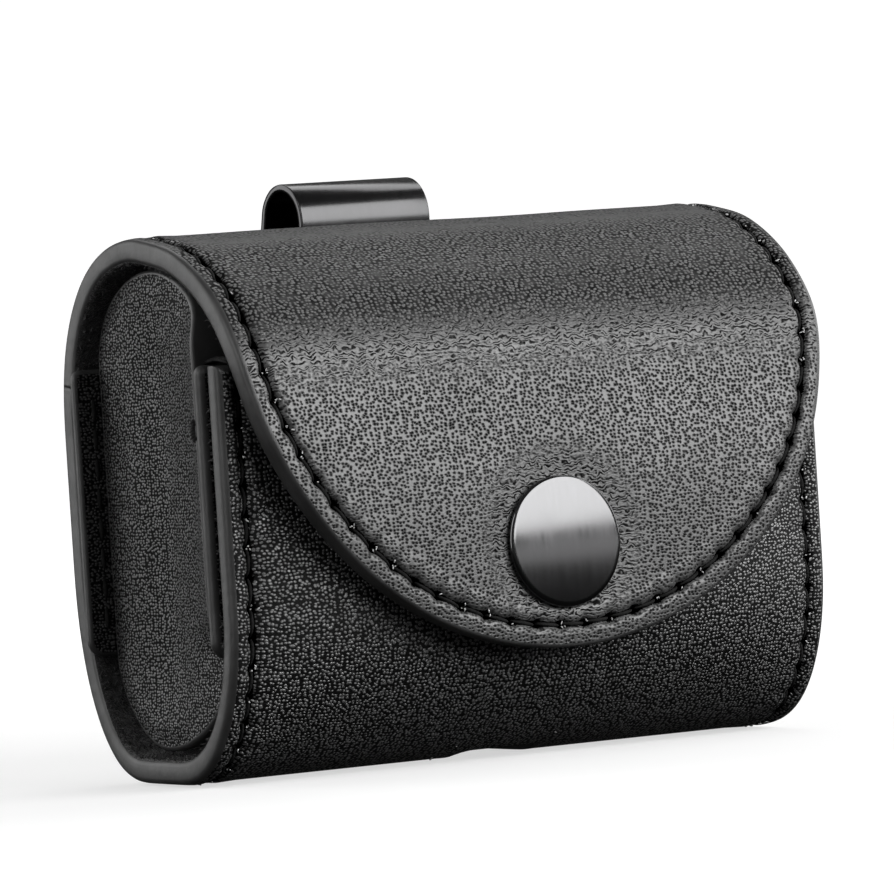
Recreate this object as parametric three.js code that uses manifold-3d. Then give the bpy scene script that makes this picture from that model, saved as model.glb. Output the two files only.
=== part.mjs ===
// A small leather belt pouch with a snap flap and a spring-steel belt clip.
//
// One strip of lined leather is wrapped round as the front, floor, back, top and flap.
// Two gussets close its ends, a snap holds the flap, and a folded steel clip is riveted
// to the back.  Millimetres, +Z up, the flap faces -Y, and the pouch stands on Z = 0.

import * as THREE from 'three'
import { mergeVertices } from 'three/addons/utils/BufferGeometryUtils.js'
import Module from 'manifold-3d'

const wasm = await Module()
wasm.setup()

// ---------------------------------------------------------------- driving dimensions

const DEPTH_OFFSET = 0.58         // moves the whole pouch back, so its box is centred on Y = 0
const HEIGHT = 54.5               // floor to the ridge of the wrapped strip
const STRIP_HALF = 34.7           // half the width of the strip at the top and back
const FRONT_HALF = 35.3           // half the width of the strip at the front panel
const LEATHER = 1.5               // thickness of the leather ply
const LINING = 0.6                // thickness of the microfibre ply
const GAP = 0.3                   // free space between neighbouring pieces

const FRONT_Y = -15.1             // front panel at its side edges
const BACK_Y = 16.8               // back panel
const POCKET_TOP = 41.5           // top edge of the front panel
const FRONT_ARC = 17.3            // height where the front panel starts to round under
const BACK_ARC = 21.2             // height where the back starts to round under
const BACK_SHOULDER = 35          // height where the back starts to round over
const RIDGE_Y = 1                 // the highest line of the strip
const FLOOR_FRONT = -3.2          // the flat of the floor, front end
const FLOOR_BACK = 5.6            // the flat of the floor, back end
const HINGE_Y = 5                 // the line on the top where the flap bends
const BACK_TOP_BEND = 2.3         // superellipse exponents of the rounded stretches
const FLOOR_BEND = 2.1

const PANEL_CROWN = 3.2           // how far the front panel bulges forward
const SEAM_INSET = 2.1            // edge stitches, in from the side edges of the strip
const GROOVE_HALF = 0.6           // half the width of the groove that the thread lies in
const GROOVE_DEPTH = 1.0
const THREAD_RADIUS = 0.25

const FLAP_SEAM = 2.4             // edge stitches of the flap, in from its outline
const FLAP_CENTRE = 45.3          // height of the centre of the flap's half-round outline
const SNAP_X = -0.5               // the snap sits a little to the left
const SNAP_Z = 21.8
const SNAP_SEAT = 1.25            // crown of the flat spot that the snap presses in the panel
const CAP_RADIUS = 6.6
const POST_RADIUS = 1.2           // rivet post inside the pocket
const SHANK_RADIUS = 1.5          // shank of the cap, through the flap

const GUSSET_X = 33.5             // outer face of each gusset panel
const GUSSET_PLY = 1.4
const FLANGE_TIP = 36             // how far the gusset flanges stand out
const FLANGE_LOW = 12.8
const FLANGE_HIGH = 41.6
const GUSSET_FRONT = -10.2        // inner faces of the two flanges
const GUSSET_BACK = 12.4
const FRONT_FLANGE = 1.6          // thickness of the front flange
const BACK_FLANGE = 0.9
const ARCH_TOP = 51.3
const TONGUE_LOW = 3.1
const TONGUE_Y = 3.2              // the lowest point of the gusset

const CLIP_WIDTH = 15.7
const STEEL = 0.8
const BEND_Y = 16.2               // middle of the clip's bend, and the radius of its middle line
const BEND_Z = 55.2
const BEND_RADIUS = 3.6
const LEAF_LOW = 14.5             // the base leaf lies on the back between these heights
const LEAF_HIGH = 49
const RIVET_HEIGHTS = { lower: 24, upper: 33 }
const RIVET_RADIUS = 1.3

const WINDOW_HALF_X = 5           // charging window in the floor
const WINDOW_HALF_Y = 6.5
const WINDOW_Y = -0.3
const WINDOW_CORNER = 1.6
const WINDOW_STITCH = 2.6         // the stitches round the window, out from its edge

const group = new THREE.Group()
group.position.y = DEPTH_OFFSET

// ---------------------------------------------------------------- materials

function material(colour, roughness, metalness) {
  return new THREE.MeshStandardMaterial({ color: colour, roughness, metalness })
}

const blackLeather = material(0x1d1d1f, 0.5, 0)
const microfibre = material(0x0d0d0e, 0.95, 0)
const blackThread = material(0x0a0a0b, 0.7, 0)
const gunmetal = material(0x4a4b4e, 0.3, 1)
const blackSteel = material(0x17181a, 0.22, 1)

function addPiece(name, geometry, finish) {
  const mesh = new THREE.Mesh(geometry, finish)
  mesh.name = name
  group.add(mesh)
  return mesh
}

// ---------------------------------------------------------------- solids and cuts

function toSolid(geometry) {
  const bare = geometry.clone()
  bare.deleteAttribute('normal')
  bare.deleteAttribute('uv')
  const welded = mergeVertices(bare, 1e-5)
  return new wasm.Manifold(new wasm.Mesh({
    numProp: 3,
    vertProperties: new Float32Array(welded.attributes.position.array),
    triVerts: new Uint32Array(welded.index.array),
  }))
}

function toGeometry(solid) {
  const mesh = solid.getMesh()
  const geometry = new THREE.BufferGeometry()
  geometry.setAttribute('position', new THREE.BufferAttribute(mesh.vertProperties, 3))
  geometry.setIndex(new THREE.BufferAttribute(mesh.triVerts, 1))
  return geometry
}

function cut(geometry, tools) {
  let solid = toSolid(geometry)
  for (const tool of tools) solid = solid.subtract(toSolid(tool))
  return toGeometry(solid)
}

function join(pieces) {
  let solid = toSolid(pieces[0])
  for (const piece of pieces.slice(1)) solid = solid.add(toSolid(piece))
  return toGeometry(solid)
}

// The tool for a round hole along Y.
function holeAlongY(radius, x, y, z) {
  const length = 8
  return new THREE.CylinderGeometry(radius, radius, length, 16).translate(x, y, z)
}

// A turned piece whose axis points along -Y: profile points are [radius, depth], where
// depth counts from the reference face forwards.
function turned(outline, x, y, z) {
  const points = outline.map(([radius, depth]) => new THREE.Vector2(radius, depth))
  return new THREE.LatheGeometry(points, 24).rotateX(Math.PI).translate(x, y, z)
}

// A closed sheet: a grid of points on the outer face, one on the inner face, and the rim.
function sheet(outer, inner) {
  const rows = outer.length
  const columns = outer[0].length
  const position = [...outer.flat(), ...inner.flat()].flatMap((p) => [p.x, p.y, p.z])
  const under = rows * columns
  const at = (row, column) => row * columns + column
  const index = []
  const quad = (a, b, c, d) => index.push(a, b, c, a, c, d)
  for (let r = 0; r < rows - 1; r++) {
    for (let c = 0; c < columns - 1; c++) {
      const [a, b, d, e] = [at(r, c), at(r + 1, c), at(r + 1, c + 1), at(r, c + 1)]
      quad(a, b, d, e)
      quad(a + under, e + under, d + under, b + under)
    }
  }
  for (let r = 0; r < rows - 1; r++) {
    const left = [at(r, 0), at(r + 1, 0)]
    const right = [at(r, columns - 1), at(r + 1, columns - 1)]
    quad(left[0], left[0] + under, left[1] + under, left[1])
    quad(right[1], right[1] + under, right[0] + under, right[0])
  }
  for (let c = 0; c < columns - 1; c++) {
    const first = [at(0, c), at(0, c + 1)]
    const last = [at(rows - 1, c), at(rows - 1, c + 1)]
    quad(first[1], first[1] + under, first[0] + under, first[0])
    quad(last[0], last[0] + under, last[1] + under, last[1])
  }
  const geometry = new THREE.BufferGeometry()
  geometry.setAttribute('position', new THREE.Float32BufferAttribute(position, 3))
  geometry.setIndex(index)
  return geometry
}

// A round tube through points.
function tube(points, radius, steps) {
  const section = new THREE.Shape()
  section.absarc(0, 0, radius, 0, 2 * Math.PI)
  const path = new THREE.CatmullRomCurve3(points, false, 'centripetal')
  return new THREE.ExtrudeGeometry(section, { steps, extrudePath: path, curveSegments: 3 })
}

// ---------------------------------------------------------------- side profile of the strip

const smooth = (low, high, value) => THREE.MathUtils.smoothstep(value, low, high)

// A quarter of a superellipse, from its steep end to its level end.
function quarter(steep, level, exponent, steps) {
  const points = []
  for (let i = 0; i <= steps; i++) {
    const turn = (i / steps) * Math.PI / 2
    const out = Math.cos(turn) ** (2 / exponent)
    const up = Math.sin(turn) ** (2 / exponent)
    points.push(new THREE.Vector2(
      level[0] + (steep[0] - level[0]) * out,
      steep[1] + (level[1] - steep[1]) * up,
    ))
  }
  return points
}

const line = (from, to, steps) => Array.from({ length: steps }, (_, i) =>
  new THREE.Vector2(...from).lerp(new THREE.Vector2(...to), i / steps))

// Turns a list of [y, z] points into rows with an outward normal and the distance along.
function profile(points) {
  let along = 0
  return points.map((point, i) => {
    const before = points[Math.max(i - 1, 0)]
    const after = points[Math.min(i + 1, points.length - 1)]
    const tangent = after.clone().sub(before).normalize()
    if (i > 0) along += point.distanceTo(before)
    return { point, normal: new THREE.Vector2(tangent.y, -tangent.x), along }
  })
}

const backArc = quarter([BACK_Y, BACK_SHOULDER], [RIDGE_Y, HEIGHT], BACK_TOP_BEND, 14)
  .filter((point) => point.x > HINGE_Y + 1)

// Height of the rounded back shoulder at a given depth.
function shoulderHeight(y) {
  const outward = (y - RIDGE_Y) / (BACK_Y - RIDGE_Y)
  const rise = (1 - outward ** BACK_TOP_BEND) ** (1 / BACK_TOP_BEND)
  return BACK_SHOULDER + (HEIGHT - BACK_SHOULDER) * rise
}

// The cut between shell and flap is square to the leather at the hinge line.
const hingeSlope = (shoulderHeight(HINGE_Y + 0.1) - shoulderHeight(HINGE_Y - 0.1)) / 0.2
const hingeNormal = new THREE.Vector2(-hingeSlope, 1).normalize()

const shellProfile = profile([
  ...line([FRONT_Y, POCKET_TOP], [FRONT_Y, FRONT_ARC], 8),
  ...quarter([FRONT_Y, FRONT_ARC], [FLOOR_FRONT, 0], FLOOR_BEND, 7),
  ...line([FLOOR_FRONT, 0], [FLOOR_BACK, 0], 3).slice(1),
  ...quarter([BACK_Y, BACK_ARC], [FLOOR_BACK, 0], FLOOR_BEND, 7).reverse(),
  ...line([BACK_Y, BACK_ARC], [BACK_Y, BACK_SHOULDER], 3).slice(1),
  ...backArc,
  new THREE.Vector2(HINGE_Y + GAP / 2, shoulderHeight(HINGE_Y + GAP / 2)),
])
shellProfile[shellProfile.length - 1].normal = hingeNormal

// The flap's outer line, from the bend over the ridge and down the front.
const flapSpline = new THREE.CatmullRomCurve3([
  [HINGE_Y - GAP / 2, shoulderHeight(HINGE_Y - GAP / 2)],
  [RIDGE_Y, HEIGHT],
  [-6.7, 52.8],
  [-13.1, 48.8],
  [-17.3, 43.4],
  [-19.4, 35.5],
  [-20.8, 28],
  [-21.4, 20],
  [-21.6, 11.1],
].map(([y, z]) => new THREE.Vector3(0, y, z)), false, 'centripetal')

const placeAt = (x, row, depth) => new THREE.Vector3(
  x,
  row.point.x - row.normal.x * depth,
  row.point.y - row.normal.y * depth,
)

// ---------------------------------------------------------------- wrapped shell

const isFront = (row) => row.point.x < FLOOR_FRONT && row.point.y < POCKET_TOP + 1

// How far a point of the front panel stands forward of the panel's side edges.
function crown(x, row) {
  if (!isFront(row)) return 0
  const z = row.point.y
  const across = Math.max(0, 1 - Math.abs(x / (FRONT_HALF - SEAM_INSET)) ** 4)
  const upright = smooth(0, 16, z) * (1 - smooth(17, POCKET_TOP, z))
  const fromSnap = Math.hypot(x - SNAP_X, z - SNAP_Z)
  const free = smooth(7, 11, fromSnap)
  return THREE.MathUtils.lerp(SNAP_SEAT, PANEL_CROWN * across * upright, free)
}

const crownColumns = [5.5, 10, 16, 23, 29]
const bothSides = (side) => [...side.map((x) => -x).reverse(), 0, ...side]

function shellColumns(half) {
  const seam = half - SEAM_INSET
  return bothSides([...crownColumns, seam - GROOVE_HALF - 0.3, seam - GROOVE_HALF,
    seam + GROOVE_HALF, seam + GROOVE_HALF + 0.3, half])
}

const halfWidthAt = (row) => FRONT_HALF
  + (STRIP_HALF - FRONT_HALF) * smooth(-12, 12, row.point.x)

function inGroove(x, half) {
  return Math.abs(Math.abs(x) - (half - SEAM_INSET)) < GROOVE_HALF + 0.01
}

const shellOuter = shellProfile.map((row) => {
  const half = halfWidthAt(row)
  return shellColumns(half).map((x) =>
    placeAt(x, row, (inGroove(x, half) ? GROOVE_DEPTH : 0) - crown(x, row)))
})
const shellInner = shellProfile.map((row) =>
  shellColumns(halfWidthAt(row)).map((x) => placeAt(x, row, LEATHER - crown(x, row))))

function roundedWindow(grow) {
  const x = WINDOW_HALF_X + grow
  const y = WINDOW_HALF_Y + grow
  const r = WINDOW_CORNER + grow
  const outline = new THREE.Shape()
  outline.absarc(x - r, y - r, r, 0, Math.PI / 2)
  outline.absarc(r - x, y - r, r, Math.PI / 2, Math.PI)
  outline.absarc(r - x, r - y, r, Math.PI, 1.5 * Math.PI)
  outline.absarc(x - r, r - y, r, 1.5 * Math.PI, 2 * Math.PI)
  return outline
}

function windowTool() {
  const options = { depth: 8, bevelEnabled: false, curveSegments: 3 }
  return new THREE.ExtrudeGeometry(roundedWindow(0), options).translate(0, WINDOW_Y, -4)
}

// Height of the floor's outer face where it rounds up towards the front.
function floorHeight(y) {
  const outward = Math.max(0, (FLOOR_FRONT - y) / (FLOOR_FRONT - FRONT_Y))
  return FRONT_ARC * (1 - (1 - outward ** FLOOR_BEND) ** (1 / FLOOR_BEND))
}

// One turn of stitches round the window, sunk below the floor's outer face.
const windowRoute = roundedWindow(WINDOW_STITCH).getSpacedPoints(28).slice(0, -1).map((p) =>
  new THREE.Vector3(p.x, p.y + WINDOW_Y, floorHeight(p.y + WINDOW_Y) + GROOVE_DEPTH / 2))

const rivetHoles = Object.values(RIVET_HEIGHTS).map((z) =>
  holeAlongY(RIVET_RADIUS + GAP, 0, BACK_Y, z))
const postHole = holeAlongY(POST_RADIUS + GAP, SNAP_X, FRONT_Y, SNAP_Z)
const windowGroove = tube(windowRoute, THREAD_RADIUS + GAP, 28)

addPiece('shell_leather',
  cut(sheet(shellOuter, shellInner), [windowTool(), windowGroove, postHole, ...rivetHoles]),
  blackLeather)

// The lining backs the leather and stops short of its painted edges.
function liningColumns(half) {
  return bothSides([...crownColumns, half - SEAM_INSET - GROOVE_HALF - 0.3, half - 0.5])
}

function liningFace(rows, depth) {
  return rows.map((row) => liningColumns(halfWidthAt(row)).map((x) =>
    placeAt(x, row, depth - crown(x, row))))
}

const liningDepth = LEATHER + GAP
addPiece('shell_lining',
  cut(sheet(liningFace(shellProfile, liningDepth), liningFace(shellProfile, liningDepth + LINING)),
    [windowTool(), postHole, ...rivetHoles]),
  microfibre)

// Edge stitches run along both sides of the strip, sunk in their grooves.
for (const [side, sign] of [['left', -1], ['right', 1]]) {
  const route = shellProfile.map((row) => placeAt(
    sign * (halfWidthAt(row) - SEAM_INSET), row, GROOVE_DEPTH / 2 - crown(STRIP_HALF, row)))
  addPiece(`${side}_edge_thread`, tube(route, THREAD_RADIUS, 36), blackThread)
}

addPiece('window_thread', tube(windowRoute, THREAD_RADIUS, 28), blackThread)

// ---------------------------------------------------------------- flap

// Rows of the flap: an even run to the half-round outline's centre, then rows by angle.
const flapFine = profile(flapSpline.getSpacedPoints(400).map((p) => new THREE.Vector2(p.y, p.z)))
flapFine[0].normal = hingeNormal
const flapCentreRow = flapFine.find((row) => row.point.x < RIDGE_Y && row.point.y < FLAP_CENTRE)
const flapRound = flapFine[flapFine.length - 1].along - flapCentreRow.along

function flapRowAt(along) {
  return flapFine.reduce((best, row) =>
    Math.abs(row.along - along) < Math.abs(best.along - along) ? row : best)
}

const flapRows = []
const straightSteps = 9
for (let i = 0; i < straightSteps; i++) {
  const row = flapRowAt(flapCentreRow.along * i / straightSteps)
  flapRows.push({ ...row, half: STRIP_HALF })
}
const roundSteps = 12
for (let i = 0; i <= roundSteps; i++) {
  const turn = THREE.MathUtils.degToRad(87.5 * i / roundSteps)
  const row = flapRowAt(flapCentreRow.along + flapRound * Math.sin(turn))
  flapRows.push({ ...row, half: STRIP_HALF * Math.cos(turn) })
}

function flapFace(depth, inset) {
  const columns = 10
  return flapRows.map((row) => Array.from({ length: columns + 1 }, (_, i) =>
    placeAt((2 * i / columns - 1) * (row.half - inset), row, depth)))
}

const capHole = holeAlongY(SHANK_RADIUS + GAP, SNAP_X, -20, SNAP_Z)
addPiece('flap_leather',
  cut(sheet(flapFace(0, 0), flapFace(LEATHER, 0)), [capHole]), blackLeather)
addPiece('flap_lining',
  cut(sheet(flapFace(liningDepth, 0.4), flapFace(liningDepth + LINING, 0.4)), [capHole]),
  microfibre)

// One line of edge stitches follows the flap's outline from side to side.
const threadLift = -(THREAD_RADIUS + GAP)
const flapThreadSide = []
for (let i = 0; i < straightSteps; i++) {
  const row = flapRowAt(flapCentreRow.along * i / straightSteps)
  flapThreadSide.push(placeAt(STRIP_HALF - FLAP_SEAM, row, threadLift))
}
for (let i = 0; i < roundSteps; i++) {
  const turn = (i / roundSteps) * Math.PI / 2
  const row = flapRowAt(flapCentreRow.along + (flapRound - FLAP_SEAM) * Math.sin(turn))
  flapThreadSide.push(placeAt((STRIP_HALF - FLAP_SEAM) * Math.cos(turn), row, threadLift))
}
const flapThreadTip = placeAt(0, flapRowAt(flapCentreRow.along + flapRound - FLAP_SEAM), threadLift)
const otherSide = flapThreadSide.map((p) => new THREE.Vector3(-p.x, p.y, p.z)).reverse()
addPiece('flap_edge_thread',
  tube([...flapThreadSide, flapThreadTip, ...otherSide], THREAD_RADIUS, 54), blackThread)

// ---------------------------------------------------------------- gussets

function gussetOutline(inset) {
  const front = GUSSET_FRONT + inset
  const back = GUSSET_BACK - inset
  const middle = (front + back) / 2
  const outline = new THREE.Shape()
  outline.moveTo(front, FLANGE_LOW)
  outline.bezierCurveTo(front, FLANGE_LOW - 6, TONGUE_Y - 6, TONGUE_LOW + inset,
    TONGUE_Y, TONGUE_LOW + inset)
  outline.bezierCurveTo(TONGUE_Y + 5, TONGUE_LOW + inset, back, FLANGE_LOW - 4,
    back, FLANGE_LOW)
  outline.lineTo(back, FLANGE_HIGH)
  outline.absellipse(middle, FLANGE_HIGH, (back - front) / 2, ARCH_TOP - inset - FLANGE_HIGH,
    0, Math.PI)
  outline.closePath()
  return outline
}

// An outline in the Y-Z plane, given thickness along X from `x` outwards.
function slab(outline, x, thickness) {
  const options = { depth: thickness, bevelEnabled: false, curveSegments: 10 }
  return new THREE.ExtrudeGeometry(outline, options)
    .rotateX(Math.PI / 2).rotateZ(Math.PI / 2).translate(x, 0, 0)
}

function flange(y, thickness) {
  const outline = new THREE.Shape()
  const reach = FLANGE_TIP - GUSSET_X + GUSSET_PLY
  const height = FLANGE_HIGH - FLANGE_LOW
  return new THREE.BoxGeometry(reach, thickness, height)
    .translate(FLANGE_TIP - reach / 2, y, FLANGE_LOW + height / 2)
}

const mirrorX = (geometry) => {
  const flipped = geometry.clone().scale(-1, 1, 1)
  const solidIndex = mergeVertices(stripped(flipped), 1e-5)
  const order = solidIndex.index.array
  for (let i = 0; i < order.length; i += 3) [order[i], order[i + 1]] = [order[i + 1], order[i]]
  return solidIndex
}

function stripped(geometry) {
  geometry.deleteAttribute('normal')
  geometry.deleteAttribute('uv')
  return geometry
}

const rightGusset = join([
  slab(gussetOutline(0), GUSSET_X - GUSSET_PLY, GUSSET_PLY),
  flange(GUSSET_FRONT - FRONT_FLANGE / 2, FRONT_FLANGE),
  flange(GUSSET_BACK + BACK_FLANGE / 2, BACK_FLANGE),
])
const rightGussetLining = slab(gussetOutline(0.8), GUSSET_X - GUSSET_PLY - GAP - LINING, LINING)

addPiece('right_gusset', rightGusset, blackLeather)
addPiece('right_gusset_lining', rightGussetLining, microfibre)
addPiece('left_gusset', mirrorX(rightGusset), blackLeather)
addPiece('left_gusset_lining', mirrorX(rightGussetLining), microfibre)

// A few turns of thread wrap the top of each front seam.
for (const [side, sign] of [['left', -1], ['right', 1]]) {
  const size = new THREE.Vector3(1.6, 4, 0.6)
  const tack = new THREE.BoxGeometry(...size)
    .translate(sign * (FRONT_HALF - SEAM_INSET), GUSSET_FRONT - size.y / 2,
      FLANGE_HIGH + GAP + size.z / 2)
  addPiece(`${side}_seam_tack`, tack, blackThread)
}

// ---------------------------------------------------------------- snap

const flapFront = flapFine.find((row) => row.point.y < SNAP_Z).point.x
const panelFront = FRONT_Y - crown(SNAP_X, { point: new THREE.Vector2(FRONT_Y, SNAP_Z) })

// A domed cap with a rolled rim and a shank that reaches through the flap.
const capShank = LEATHER + GAP + LINING + GAP - 0.2
addPiece('snap_cap', turned([
  [0, -capShank], [SHANK_RADIUS, -capShank], [SHANK_RADIUS, 0], [CAP_RADIUS - 0.4, 0],
  [CAP_RADIUS, 0.35], [CAP_RADIUS - 0.3, 0.7], [CAP_RADIUS * 0.75, 1.05],
  [CAP_RADIUS * 0.4, 1.2], [0, 1.25],
], SNAP_X, flapFront - GAP, SNAP_Z), gunmetal)

// The stud's base rests on the front panel, and its knob stands in the socket's mouth.
const studBase = 0.4
const knob = 1.05
addPiece('snap_stud', turned([
  [0, 0], [4, 0], [4.2, 0.2], [4, studBase], [1.6, studBase], [1.9, knob - 0.25],
  [1.7, knob], [0, knob],
], SNAP_X, panelFront - GAP, SNAP_Z), gunmetal)

const socketHeight = 0.9
addPiece('snap_socket', turned([
  [2.6, 0], [4, 0], [4.4, 0.3], [4.4, 0.6], [4, socketHeight], [2.6, socketHeight], [2.6, 0],
], SNAP_X, panelFront - GAP - studBase - GAP, SNAP_Z), gunmetal)

const postHead = 0.9
const postLength = GAP + LINING + GAP + LEATHER
addPiece('snap_post', turned([
  [0, 0], [4.2, 0], [4.5, 0.3], [4.5, 0.7], [POST_RADIUS, postHead],
  [POST_RADIUS, postHead + postLength], [0, postHead + postLength],
], SNAP_X, panelFront + postLength + postHead, SNAP_Z), gunmetal)

// ---------------------------------------------------------------- belt clip

// A bent steel strip: its middle line is a curve in the side view, widened along X.
function bentStrip(points, steps) {
  const path = new THREE.CatmullRomCurve3(points.map(([y, z]) => new THREE.Vector3(0, y, z)),
    false, 'centripetal')
  const rows = profile(path.getSpacedPoints(steps).map((p) => new THREE.Vector2(p.y, p.z)))
  const face = (depth) => rows.map((row) =>
    [-CLIP_WIDTH / 2, CLIP_WIDTH / 2].map((x) => placeAt(x, row, depth)))
  return sheet(face(-STEEL / 2), face(STEEL / 2))
}


function bendPoint(degrees) {
  const turn = THREE.MathUtils.degToRad(degrees)
  return [BEND_Y - BEND_RADIUS * Math.cos(turn), BEND_Z + BEND_RADIUS * Math.sin(turn)]
}

// The base leaf lies along the back of the strip, then leaves it to form the bend.
const leafRoute = shellProfile
  .filter((row) => row.point.x > HINGE_Y && row.point.y > LEAF_LOW && row.point.y < LEAF_HIGH)
  .map((row) => placeAt(0, row, -(GAP + STEEL / 2)))
  .map((p) => [p.y, p.z])
const baseLeaf = bentStrip([
  ...leafRoute, [13, 52.2], bendPoint(0), bendPoint(30), bendPoint(60), bendPoint(87),
], 36)
addPiece('clip_base_leaf', cut(baseLeaf, rivetHoles), blackSteel)

addPiece('clip_spring_leaf', bentStrip([
  bendPoint(93), bendPoint(120), bendPoint(150), bendPoint(176), [20.9, 50], [21.3, 45],
  [21, 38], [20.2, 28], [19.1, 19.5], [18.95, 17], [19.8, 14.5], [20.9, 13],
], 36), blackSteel)

for (const [place, z] of Object.entries(RIVET_HEIGHTS)) {
  const head = new THREE.Vector2(2.6, 0.7)
  const headBase = BACK_Y + GAP + STEEL + GAP
  const shank = headBase - BACK_Y + LEATHER + LINING + GAP + 0.2
  addPiece(`clip_rivet_${place}`, turned([
    [0, -head.y], [head.x * 0.6, 0.15 - head.y], [head.x, 0], [RIVET_RADIUS, 0],
    [RIVET_RADIUS, shank], [0, shank],
  ], 0, headBase, z), gunmetal)
  const washerBase = BACK_Y - LEATHER - GAP - LINING - GAP
  addPiece(`clip_washer_${place}`, turned([
    [RIVET_RADIUS + GAP, 0], [3.6, 0], [3.6, 0.5], [RIVET_RADIUS + GAP, 0.5],
    [RIVET_RADIUS + GAP, 0],
  ], 0, washerBase, z), gunmetal)
}

export default group
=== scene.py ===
"""Looks of a small black leather belt pouch: pebbled leather, stitches, painted edges,
a satin snap and a glossy steel belt clip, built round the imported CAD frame.

Lengths are in millimetres until `to_metres`, and heights count from the floor."""

import math
import random

import bmesh
import bpy
from mathutils import Matrix, Vector, noise


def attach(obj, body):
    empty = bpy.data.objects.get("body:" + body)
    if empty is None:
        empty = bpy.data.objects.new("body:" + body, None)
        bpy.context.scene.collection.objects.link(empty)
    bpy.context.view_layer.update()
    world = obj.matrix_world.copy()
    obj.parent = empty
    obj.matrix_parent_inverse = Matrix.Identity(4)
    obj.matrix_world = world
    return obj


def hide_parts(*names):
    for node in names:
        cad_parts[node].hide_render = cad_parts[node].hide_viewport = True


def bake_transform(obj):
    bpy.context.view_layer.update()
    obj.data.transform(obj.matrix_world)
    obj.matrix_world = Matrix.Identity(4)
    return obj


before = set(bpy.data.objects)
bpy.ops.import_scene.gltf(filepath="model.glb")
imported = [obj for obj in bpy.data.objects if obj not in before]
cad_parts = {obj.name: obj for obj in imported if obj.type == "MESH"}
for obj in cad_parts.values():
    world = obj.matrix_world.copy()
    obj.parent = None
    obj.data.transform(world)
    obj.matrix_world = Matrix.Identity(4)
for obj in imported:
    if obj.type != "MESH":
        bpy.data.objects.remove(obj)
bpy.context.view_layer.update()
random.seed(7)

# ---------------------------------------------------------------- dimensions
# The CAD's, except that the strip's soft edges reach further out at each side: 0.55 mm in
# front and 0.4 mm behind.

MM = 0.001
DEPTH_OFFSET = 0.58                # from the depths below to the frame's, whose box is centred
HEIGHT = 54.5
STRIP_HALF = 35.1
FRONT_HALF = 35.85
THICKNESS = 2.4
FRONT_Y = -15.1
BACK_Y = 16.8
POCKET_TOP = 41.5
FRONT_ARC = 17.3
BACK_ARC = 21.2
BACK_SHOULDER = 35.0
RIDGE_Y = 1.0
FLOOR_FRONT = -3.2
FLOOR_BACK = 5.6
FLOOR_BEND = 2.1
BACK_TOP_BEND = 2.3
PANEL_CROWN = 3.2
SNAP_SEAT = 1.25
SEAM_INSET = 2.3
STITCH = 3.0
JOIN_HEIGHT = 40.0                # the strip's two pieces meet on the back at this height
FLAP_CENTRE = 45.3
SNAP_X = -0.5
SNAP_Z = 21.8
CAP_RADIUS = 6.6
GUSSET_X = 33.5
GUSSET_FRONT = -10.2
GUSSET_BACK = 12.4
FLANGE_TIP = 36.0
FLANGE_LOW = 12.8
FLANGE_HIGH = 41.6
ARCH_TOP = 51.3
TONGUE_LOW = 3.1
TONGUE_Y = 3.2
CLIP_WIDTH = 15.7
CLIP_CORNER = 2.6
STEEL = 0.8
BEND_Y = 16.2
BEND_Z = 55.2
BEND_RADIUS = 3.6
RIVET_HEIGHTS = {"lower": 24.0, "upper": 33.0}


def to_metres(x, y, z):
    return Vector((x * MM, (y + DEPTH_OFFSET) * MM, z * MM))


def smooth(low, high, value):
    t = min(1.0, max(0.0, (value - low) / (high - low)))
    return t * t * (3 - 2 * t)


def mix(a, b, t):
    return a + (b - a) * t


# ---------------------------------------------------------------- side profile of the strip

def quarter(steep, level, exponent, steps=40):
    """A quarter of a superellipse from its steep end to its level end."""
    points = []
    for i in range(steps + 1):
        turn = math.pi / 2 * i / steps
        out = max(0.0, math.cos(turn)) ** (2 / exponent)
        up = math.sin(turn) ** (2 / exponent)
        y = level[0] + (steep[0] - level[0]) * out
        z = steep[1] + (level[1] - steep[1]) * up
        points.append((y, z))
    return points


def spline(points, steps=24):
    """A centripetal Catmull-Rom curve through points."""
    dots = [Vector(p) for p in points]
    dots = [2 * dots[0] - dots[1]] + dots + [2 * dots[-1] - dots[-2]]
    result = []
    for a, b, c, d in zip(dots, dots[1:], dots[2:], dots[3:]):
        ta = 0.0
        tb = ta + math.sqrt((b - a).length)
        tc = tb + math.sqrt((c - b).length)
        td = tc + math.sqrt((d - c).length)
        for i in range(steps):
            t = mix(tb, tc, i / steps)
            ab = a.lerp(b, (t - ta) / (tb - ta))
            bc = b.lerp(c, (t - tb) / (tc - tb))
            cd = c.lerp(d, (t - tc) / (td - tc))
            abc = ab.lerp(bc, (t - ta) / (tc - ta))
            bcd = bc.lerp(cd, (t - tb) / (td - tb))
            result.append(tuple(abc.lerp(bcd, (t - tb) / (tc - tb))))
    result.append(tuple(dots[-2]))
    return result


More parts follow.
